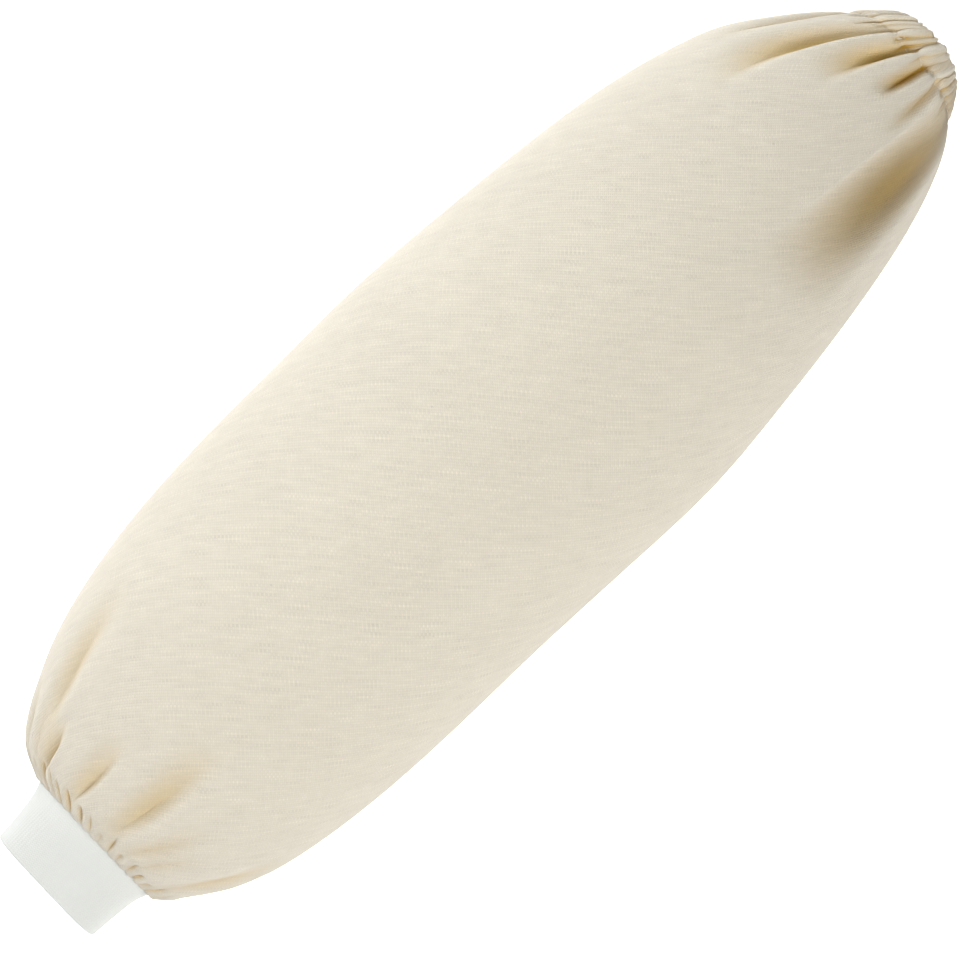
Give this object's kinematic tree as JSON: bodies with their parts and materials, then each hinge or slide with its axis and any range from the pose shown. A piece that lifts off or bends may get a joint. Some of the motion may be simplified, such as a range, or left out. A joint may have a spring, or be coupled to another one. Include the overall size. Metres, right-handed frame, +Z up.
{
  "type": "canvas work sleeve",
  "caption": "Tubular canvas arm protector lying puffed out, gathered into a rib-knit wrist cuff at one end and into an elastic casing at the open upper-arm end.",
  "frame": {"origin": "on the surface that the sleeve lies on, under the middle of its bounding box", "axes": "+X along the sleeve from the knit cuff to the elastic end, +Y across it, +Z up"},
  "size_m": [0.4564, 0.1447, 0.0926],
  "materials": {
    "canvas": "natural undyed plain-weave cotton canvas, matt",
    "elastic": "white woven elastic, matt",
    "knit": "white fine rib knit, matt"
  },
  "bodies": {
    "root": {"canvas_body": "canvas", "elastic_casing": "canvas", "elastic_band": "elastic", "knit_cuff": "knit"}
  },
  "joints": []
}
